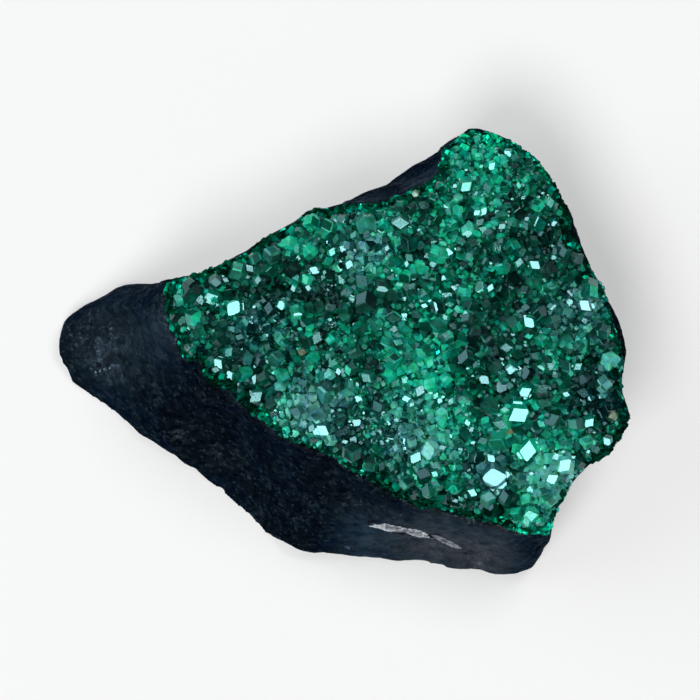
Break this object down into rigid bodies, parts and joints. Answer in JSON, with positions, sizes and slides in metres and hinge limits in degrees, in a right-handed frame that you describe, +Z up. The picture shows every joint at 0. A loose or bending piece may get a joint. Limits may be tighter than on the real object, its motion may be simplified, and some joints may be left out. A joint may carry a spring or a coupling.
{
  "type": "uvarovite druse on chromite matrix",
  "caption": "Hand specimen: a flat crust of small green garnet crystals on a broken dark rock base, flat underneath to rest on a shelf.",
  "frame": {"origin": "on the resting plane, under the centre of the whole specimen's box in plan", "axes": "+Z up, out of the crystal crust; +X from the bare pointed rock end towards the broad crystal end; +Y across"},
  "size_m": [0.039, 0.0304, 0.0129],
  "materials": {
    "uvarovite": "vitreous crystal faces, deep green, slightly see-through",
    "chromite": "broken rock, near-black with a blue-grey submetallic lustre and fine grain"
  },
  "bodies": {
    "root": {"chromite_matrix": "chromite", "uvarovite_druse": "uvarovite"}
  },
  "joints": []
}
